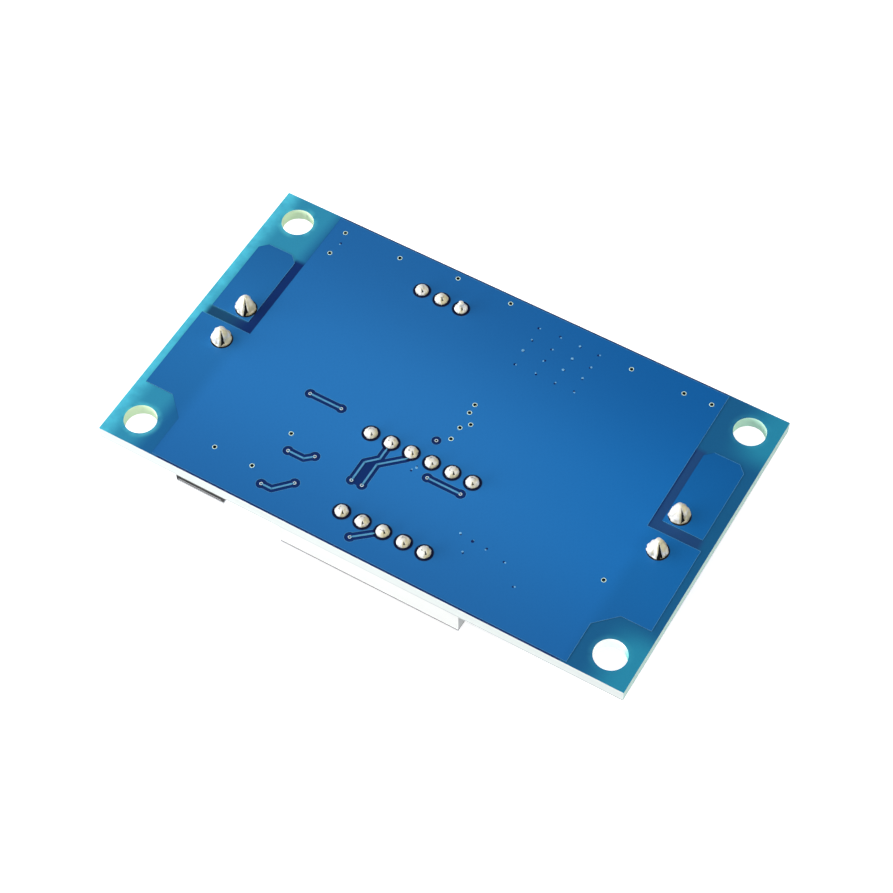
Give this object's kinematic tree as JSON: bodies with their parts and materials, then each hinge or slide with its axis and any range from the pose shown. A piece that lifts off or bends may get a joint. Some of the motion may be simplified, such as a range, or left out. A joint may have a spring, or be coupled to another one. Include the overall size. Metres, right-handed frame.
{
  "type": "buck converter module",
  "caption": "Adjustable step-down voltage converter module with screw terminals, trimmer, push buttons and a three-digit voltmeter, lying solder side up.",
  "frame": {"origin": "centre of the circuit board's outline in X and Y, on the plane of the screw terminals' flat tops that the module lies on", "axes": "+X along the board from the output terminal to the input terminal, +Y across it towards the trimmer and the regulator, +Z out of the solder side"},
  "size_m": [0.0644, 0.0384, 0.014],
  "materials": {
    "lacquered_board": "glossy blue solder mask over copper",
    "tinned_copper": "hot-tinned pads",
    "solder": "bright solder",
    "tinned_brass": "tin-plated brass",
    "plated_steel": "zinc-plated steel",
    "brass": "turned brass",
    "terminal_blue": "moulded blue polyamide",
    "trimmer_blue": "moulded blue polyester",
    "potting": "cast resin",
    "display_white": "moulded white polycarbonate",
    "display_grey": "dark grey film",
    "segment_milk": "milky diffusing resin",
    "moulded_black": "moulded black epoxy",
    "ferrite": "ground ferrite",
    "enamelled_copper": "enamelled copper wire",
    "can_aluminium": "drawn aluminium can",
    "button_black": "moulded black",
    "lamp_resin": "clear yellowish resin",
    "ceramic_tan": "fired ceramic"
  },
  "bodies": {
    "root": {"circuit_board": "lacquered_board", "component_pads": "tinned_copper", "terminal_in_housing": "terminal_blue", "terminal_out_housing": "terminal_blue", "terminal_in_frames": "tinned_brass", "terminal_out_frames": "tinned_brass", "trimmer_housing": "trimmer_blue", "trimmer_potting": "potting", "trimmer_pins": "tinned_copper", "display_case": "display_white", "display_face": "display_grey", "display_segments": "segment_milk", "display_resin": "potting", "display_pins": "tinned_copper", "regulator_body": "moulded_black", "regulator_tab": "tinned_copper", "regulator_leads": "tinned_copper", "inductor_shield": "ferrite", "inductor_core": "ferrite", "inductor_winding": "enamelled_copper", "inductor_clips": "tinned_copper", "diode_body": "moulded_black", "diode_leads": "tinned_copper", "input_capacitor_can": "can_aluminium", "input_capacitor_base": "moulded_black", "input_capacitor_leads": "tinned_copper", "output_capacitor_can": "can_aluminium", "output_capacitor_base": "moulded_black", "output_capacitor_leads": "tinned_copper", "microcontroller_body": "moulded_black", "microcontroller_leads": "tinned_copper", "supply_chip_body": "moulded_black", "supply_chip_leads": "tinned_copper", "button_left_case": "moulded_black", "button_left_cover": "plated_steel", "button_left_leads": "tinned_copper", "button_right_case": "moulded_black", "button_right_cover": "plated_steel", "button_right_leads": "tinned_copper", "indicator_lamps": "lamp_resin", "chip_resistors": "moulded_black", "chip_capacitors": "ceramic_tan", "chip_ends": "tinned_copper", "terminal_solder": "solder", "display_solder": "solder", "trimmer_solder": "solder"},
    "guard_in_pos": {"terminal_in_guard_pos": "plated_steel"},
    "guard_in_neg": {"terminal_in_guard_neg": "plated_steel"},
    "guard_out_pos": {"terminal_out_guard_pos": "plated_steel"},
    "guard_out_neg": {"terminal_out_guard_neg": "plated_steel"},
    "screw_in_pos": {"terminal_in_screw_pos": "plated_steel"},
    "screw_in_neg": {"terminal_in_screw_neg": "plated_steel"},
    "screw_out_pos": {"terminal_out_screw_pos": "plated_steel"},
    "screw_out_neg": {"terminal_out_screw_neg": "plated_steel"},
    "adjuster": {"trimmer_screw": "brass"},
    "plunger_left": {"button_left_plunger": "button_black"},
    "plunger_right": {"button_right_plunger": "button_black"}
  },
  "joints": [
    {"name": "clamp_in_pos", "type": "slide", "parent": "root", "child": "guard_in_pos", "axis": [0, 0, 1], "range_m": [0, 0.002]},
    {"name": "clamp_in_neg", "type": "slide", "parent": "root", "child": "guard_in_neg", "axis": [0, 0, 1], "range_m": [0, 0.002]},
    {"name": "clamp_out_pos", "type": "slide", "parent": "root", "child": "guard_out_pos", "axis": [0, 0, 1], "range_m": [0, 0.002]},
    {"name": "clamp_out_neg", "type": "slide", "parent": "root", "child": "guard_out_neg", "axis": [0, 0, 1], "range_m": [0, 0.002]},
    {"name": "turn_in_pos", "type": "hinge", "parent": "guard_in_pos", "child": "screw_in_pos", "pos_m": [0.02585, 0.0025, 0], "axis": [0, 0, 1], "range_deg": [0, 1440]},
    {"name": "turn_in_neg", "type": "hinge", "parent": "guard_in_neg", "child": "screw_in_neg", "pos_m": [0.02585, -0.0025, 0], "axis": [0, 0, 1], "range_deg": [0, 1440]},
    {"name": "turn_out_pos", "type": "hinge", "parent": "guard_out_pos", "child": "screw_out_pos", "pos_m": [-0.02585, 0.0025, 0], "axis": [0, 0, 1], "range_deg": [0, 1440]},
    {"name": "turn_out_neg", "type": "hinge", "parent": "guard_out_neg", "child": "screw_out_neg", "pos_m": [-0.02585, -0.0025, 0], "axis": [0, 0, 1], "range_deg": [0, 1440]},
    {"name": "adjuster_turn", "type": "hinge", "parent": "root", "child": "adjuster", "pos_m": [-0.0124, 0.01465, 0], "axis": [0, 0, 1], "continuous": true},
    {"name": "press_left", "type": "slide", "parent": "root", "child": "plunger_left", "axis": [0, 0, 1], "range_m": [0, 0.00025], "stiffness_N_per_m": 6000},
    {"name": "press_right", "type": "slide", "parent": "root", "child": "plunger_right", "axis": [0, 0, 1], "range_m": [0, 0.00025], "stiffness_N_per_m": 6000}
  ],
  "couplings": [
    {"joint": "turn_in_pos", "follows": "clamp_in_pos", "rad_per_m": 12566},
    {"joint": "turn_in_neg", "follows": "clamp_in_neg", "rad_per_m": 12566},
    {"joint": "turn_out_pos", "follows": "clamp_out_pos", "rad_per_m": 12566},
    {"joint": "turn_out_neg", "follows": "clamp_out_neg", "rad_per_m": 12566}
  ]
}
